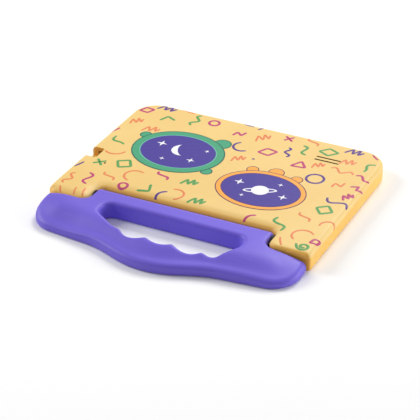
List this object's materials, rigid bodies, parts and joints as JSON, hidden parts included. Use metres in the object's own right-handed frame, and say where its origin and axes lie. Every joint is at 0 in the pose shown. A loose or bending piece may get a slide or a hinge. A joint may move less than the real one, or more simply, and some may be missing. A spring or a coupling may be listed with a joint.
{
  "type": "tablet case",
  "caption": "Soft moulded case for a small tablet, with a printed back and a carry handle with a finger hole that swings back as a stand.",
  "frame": {"origin": "centre of the overall box, on the surface that the case lies on with its screen side down", "axes": "+X along the long side, +Y from the handle to the far edge, +Z out of the printed back"},
  "size_m": [0.2, 0.196, 0.0135],
  "materials": {
    "case_rubber": "satin",
    "printed_film": "satin",
    "socket_plastic": "matte",
    "grip_rubber": "satin",
    "core_plastic": "matte",
    "pin_steel": "brushed",
    "washer_rubber": "matte"
  },
  "bodies": {
    "case": {"moulded_case": "case_rubber", "printed_skin": "printed_film", "hinge_socket_left": "socket_plastic", "hinge_socket_right": "socket_plastic"},
    "handle": {"handle_grip": "grip_rubber", "handle_core": "core_plastic", "hinge_pin_left": "pin_steel", "hinge_pin_right": "pin_steel", "friction_washer_left": "washer_rubber", "friction_washer_right": "washer_rubber"}
  },
  "joints": [
    {"name": "handle_swing", "type": "hinge", "parent": "case", "child": "handle", "pos_m": [0, -0.037, 0.0065], "axis": [-1, 0, 0], "range_deg": [0, 90]}
  ]
}
